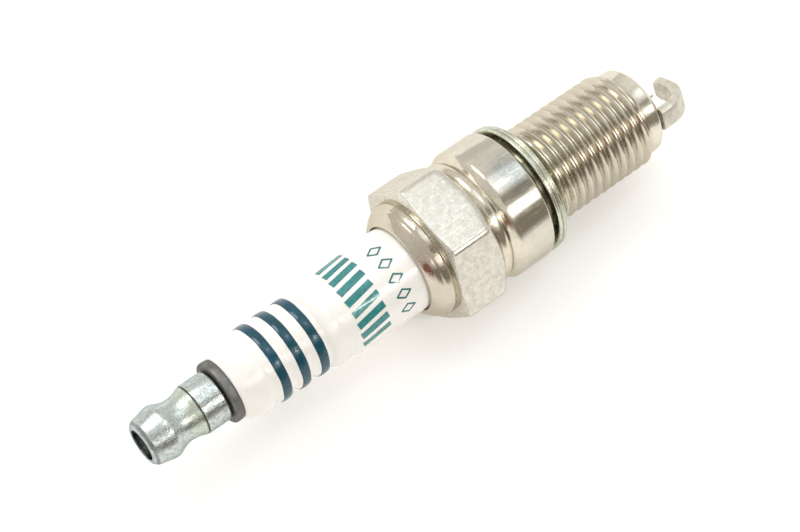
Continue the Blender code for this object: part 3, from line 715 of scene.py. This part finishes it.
# Centre electrode, its weld and fine tip
footEnd = (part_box("insulator")[1].x - seatX) / mm
electrodeEnd = (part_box("centre_electrode")[1].x - seatX) / mm
tipEnd = (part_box("iridium_tip")[1].x - seatX) / mm
firingSizes = {"centre": 1.22, "weld": 0.4, "tip": 0.2, "steps": 72, "fineSteps": 48}
centreRadius, tipRadius = firingSizes["centre"], firingSizes["tip"]
centreShape = [(1.25, 0.75), (1.25, 1.9, 0.08), (2.5, 1.9, 0.1), (3.15, centreRadius, 0.1),
               (footEnd + 0.1, centreRadius, 0.1), (electrodeEnd - 0.02, 0.44, 0.08), (electrodeEnd, 0),
               (footEnd - 2, 0), (footEnd - 2.6, 0.75)]
centrePiece = turned("centreElectrode", centreShape, firingSizes["steps"])
finishPiece(centrePiece, electrodeMetal, "plug", "nickel_alloy", "centre_electrode")
weldShape = [(0.01, 0), (0.01, firingSizes["weld"], 0.05), (0.1, 0.37, 0.06), (0.16, 0.31, 0.05),
             (0.32, 0.24, 0.04), (0.33, 0)]
weldPoints = [(electrodeEnd + s, *rest) for s, *rest in weldShape]
weldPiece = turned("tipWeld", weldPoints, firingSizes["fineSteps"], closed=False)
finishPiece(weldPiece, weldMetal, "plug", "nickel_alloy", "tip_weld")
tipPoints = [(electrodeEnd + 0.35, 0), (electrodeEnd + 0.35, tipRadius, 0.01), (tipEnd - 0.04, tipRadius, 0.05),
             (tipEnd, tipRadius - 0.04, 0.03), (tipEnd, 0)]
tipPiece = turned("iridiumTip", tipPoints, firingSizes["fineSteps"], closed=False)
finishPiece(tipPiece, iridiumMetal, "plug", "iridium", "iridium_tip")

# Side electrode: a flat wire, welded to the nose, bent over the tip and trimmed at its free end
sideSizes = {"width": 2.7, "thickness": 1.3, "corner": 0.42, "angle": -126, "bend": 3.2, "overhang": 0.9,
             "foot": 4.66, "start": 19.05, "bendCuts": 14, "endRound": 0.22,
             "trims": [(0.4, 1), (0.62, 1), (0.76, 0.96), (0.86, 0.9), (0.94, 0.8), (1, 0.64)]}
sideTurn = math.radians(sideSizes["angle"])
sideOut = Vector((0, math.sin(sideTurn), -math.cos(sideTurn)))


def makeSideElectrode(sizes):
    # built standing on its foot: x is the wire's width, y its thickness outwards, z runs along the plug
    sideHigh = (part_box("side_electrode")[1].x - seatX) / mm
    top = sideHigh - sizes["thickness"] / 2
    bend, foot = sizes["bend"], sizes["foot"]
    path = [(sizes["start"] + (top - bend - sizes["start"]) * k / 3, foot, 0) for k in range(3)]
    for k in range(sizes["bendCuts"] + 1):
        a = math.pi / 2 * k / sizes["bendCuts"]
        path.append((top - bend + bend * math.sin(a), foot - bend + bend * math.cos(a), a))
    flatRun = foot - bend + sizes["overhang"]
    path += [(top, foot - bend - flatRun * share, math.pi / 2) for share, width in sizes["trims"]]
    widths = [1] * (len(path) - len(sizes["trims"])) + [width for share, width in sizes["trims"]]
    bm = bmesh.new()
    section = bmesh.ops.create_grid(bm, x_segments=1, y_segments=1, size=0.5)
    bmesh.ops.scale(bm, vec=(sizes["width"], sizes["thickness"], 1), verts=section["verts"])
    bmesh.ops.bevel(bm, geom=bm.verts[:], offset=sizes["corner"], affect="VERTICES", segments=5, profile=0.5,
                    material=-1)
    ring = [e for e in bm.edges if e.is_boundary]
    forward = Vector((1, 0, 0))
    across = forward.cross(sideOut)

    def stand(step):
        station, height, lean = path[step]
        outward = sideOut * math.cos(lean) + forward * math.sin(lean)
        heading = forward * math.cos(lean) - sideOut * math.sin(lean)
        spot = axisPoint + forward * station * mm + sideOut * height * mm
        turn = Matrix((across, outward, heading)).transposed().to_4x4()
        return Matrix.Translation(spot) @ turn @ Matrix.Diagonal((mm * widths[step], mm, mm, 1))

    bmesh.ops.transform(bm, matrix=stand(0), verts=bm.verts)
    for step in range(1, len(path)):
        grown = bmesh.ops.extrude_edge_only(bm, edges=ring)["geom"]
        moved = [g for g in grown if isinstance(g, bmesh.types.BMVert)]
        bmesh.ops.transform(bm, matrix=stand(step) @ stand(step - 1).inverted(), verts=moved)
        ring = [g for g in grown if isinstance(g, bmesh.types.BMEdge)]
    lid = bmesh.ops.contextual_create(bm, geom=ring)["faces"]
    bmesh.ops.recalc_face_normals(bm, faces=bm.faces)
    rim = [e for f in lid for e in f.edges]
    bmesh.ops.bevel(bm, geom=rim, offset=sizes["endRound"] * mm, affect="EDGES", segments=4, profile=0.5,
                    material=-1)
    return newObject("sideElectrode", bm, 40)


finishPiece(makeSideElectrode(sideSizes), electrodeMetal, "plug", "nickel_alloy", "side_electrode")

# Weld bead at the side electrode's foot
beadSizes = {"length": 2.7, "depth": 1.25, "height": 0.34, "station": 19.12, "lump": 0.16, "lumps": 5}


def makeBead(sizes):
    bm = bmesh.new()
    bmesh.ops.create_uvsphere(bm, u_segments=40, v_segments=20, radius=0.5)
    forward = Vector((1, 0, 0))
    for v in bm.verts:
        lump = 1 + sizes["lump"] * noise.noise(v.co * sizes["lumps"])
        v.co = Vector((v.co.x * sizes["length"], v.co.y * sizes["depth"], v.co.z * sizes["height"])) * lump
    spot = axisPoint + forward * sizes["station"] * mm + sideOut * sideSizes["foot"] * mm
    turn = Matrix((forward.cross(sideOut), sideOut, forward)).transposed().to_4x4()
    bmesh.ops.transform(bm, matrix=Matrix.Translation(spot) @ turn @ Matrix.Scale(mm, 4), verts=bm.verts)
    bmesh.ops.recalc_face_normals(bm, faces=bm.faces)
    return newObject("sideWeldBead", bm, 60)


finishPiece(makeBead(beadSizes), weldMetal, "plug", "nickel_alloy", "side_weld")
print("electrodes made")

# Parts sealed inside keep their frame shapes and get their own finishes
sealedParts = {"copper_core": copperMetal, "upper_glass_seal": sealGlass, "lower_glass_seal": sealGlass,
               "resistor": resistorMix, "upper_packing_ring": ringSteel, "lower_packing_ring": ringSteel,
               "seat_packing": ringSteel, "talc_packing": talc}
for name, material in sealedParts.items():
    nodes[name].data.materials.clear()
    nodes[name].data.materials.append(material)

# Floor, lights and camera
floorSize = 1.6
floorLook = {"colour": (0.88, 0.875, 0.87), "roughness": 0.9, "shine": 0.1, "glow": (1.0, 0.965, 0.935),
             "glowStrength": 0.2}
floorMesh = bmesh.new()
bmesh.ops.create_grid(floorMesh, x_segments=1, y_segments=1, size=floorSize / 2)
floor = newObject("floor", floorMesh)
floorMaterial, floorTree, floorShader = newMaterial("paleFloor")
floorShader.inputs["Base Color"].default_value = (*floorLook["colour"], 1)
floorShader.inputs["Roughness"].default_value = floorLook["roughness"]
floorShader.inputs["Specular IOR Level"].default_value = floorLook["shine"]
floorShader.inputs["Emission Color"].default_value = (*floorLook["glow"], 1)
floorShader.inputs["Emission Strength"].default_value = floorLook["glowStrength"]
floor.data.materials.append(floorMaterial)

# The room: pale all round, with windows and darker places. A patch's height is its angle from the near side
# over the top, along its lean towards the thread, core and edge its half-widths; a low shortness draws it out
# along the plug.
room = {"base": (1.0, 0.98, 0.94), "strength": 0.86}
roomPatches = [
    {"height": 20, "along": 0.05, "core": 9, "edge": 22, "shortness": 0.15, "colour": (0.36, 0.32, 0.26)},
    {"height": 68, "along": 0.07, "core": 6, "edge": 11, "shortness": 0.2, "colour": (0.48, 0.45, 0.39)},
    {"height": 138, "along": 0.05, "core": 10, "edge": 26, "shortness": 0.15, "colour": (1.16, 1.14, 1.08)},
    {"height": 97, "along": 0.17, "core": 9, "edge": 19, "shortness": 0.5, "colour": (1.8, 1.9, 1.95)},
    {"height": 47.5, "along": 0.05, "core": 7, "edge": 10, "shortness": 0.15, "colour": (2.6, 2.55, 2.45)},
    {"height": 49, "along": 0.1, "core": 0.8, "edge": 2.2, "shortness": 0.3, "colour": (40, 40, 38)},
    {"height": 93, "along": 0.1, "core": 0.8, "edge": 2.0, "shortness": 0.3, "colour": (14, 14, 14)},
    {"height": 16, "along": -2.0, "core": 7, "edge": 14, "shortness": 1, "colour": (0.40, 0.20, 0.15)},
]
world = bpy.data.worlds.new("room")
scene.world = world
world.use_nodes = True
worldTree = world.node_tree
aim = addNode(worldTree, "TexCoord").outputs["Generated"]
glow = room["base"]
for patch in roomPatches:
    over = math.radians(patch["height"])
    toward = Vector((patch["along"], -math.cos(over), math.sin(over))).normalized()
    squeeze = (patch["shortness"], 1, 1)
    look = addNode(worldTree, "VectorMath", {0: aim, 1: squeeze}, operation="MULTIPLY").outputs[0]
    look = addNode(worldTree, "VectorMath", {0: look}, operation="NORMALIZE").outputs[0]
    near = addNode(worldTree, "VectorMath", {0: look, 1: toward}, operation="DOT_PRODUCT")
    edge, core = (math.cos(math.radians(patch[key])) for key in ("edge", "core"))
    glow = mixColour(worldTree, spread(worldTree, near.outputs["Value"], edge, core), glow, patch["colour"])
worldTree.links.new(glow, worldTree.nodes["Background"].inputs["Color"])
worldTree.nodes["Background"].inputs["Strength"].default_value = room["strength"]

lamp = {"place": (-0.10, 0.42, 0.55), "size": 0.30, "power": 1.6}
lightData = bpy.data.lights.new("softbox", "AREA")
lightData.shape = "SQUARE"
lightData.size = lamp["size"]
lightData.energy = lamp["power"]
light = bpy.data.objects.new("softbox", lightData)
scene.collection.objects.link(light)
light.location = lamp["place"]
light.rotation_euler = (-Vector(lamp["place"])).to_track_quat("-Z", "Y").to_euler()

view = {"aim": (-13.65, 1.76, -4.77), "azimuth": -50.78, "elevation": 63.22, "roll": 13.16,
        "distance": 252.93, "lens": 101.64, "sensor": 36}
turnAngle, liftAngle, rollAngle = (math.radians(view[key]) for key in ("azimuth", "elevation", "roll"))
back = Vector((math.sin(turnAngle) * math.cos(liftAngle), -math.cos(turnAngle) * math.cos(liftAngle),
               math.sin(liftAngle)))
level = Vector((math.cos(turnAngle), math.sin(turnAngle), 0))
right = level * math.cos(rollAngle) + back.cross(level) * math.sin(rollAngle)
cameraData = bpy.data.cameras.new("camera")
cameraData.lens = view["lens"]
cameraData.sensor_width = view["sensor"]
camera = bpy.data.objects.new("camera", cameraData)
scene.collection.objects.link(camera)
spot = axisPoint + Vector(view["aim"]) * mm + back * view["distance"] * mm
cameraTurn = Matrix((right, back.cross(right), back)).transposed().to_4x4()
camera.matrix_world = Matrix.Translation(spot) @ cameraTurn
scene.camera = camera
scene.view_settings.view_transform = "Standard"
print("floor, lights and camera placed")
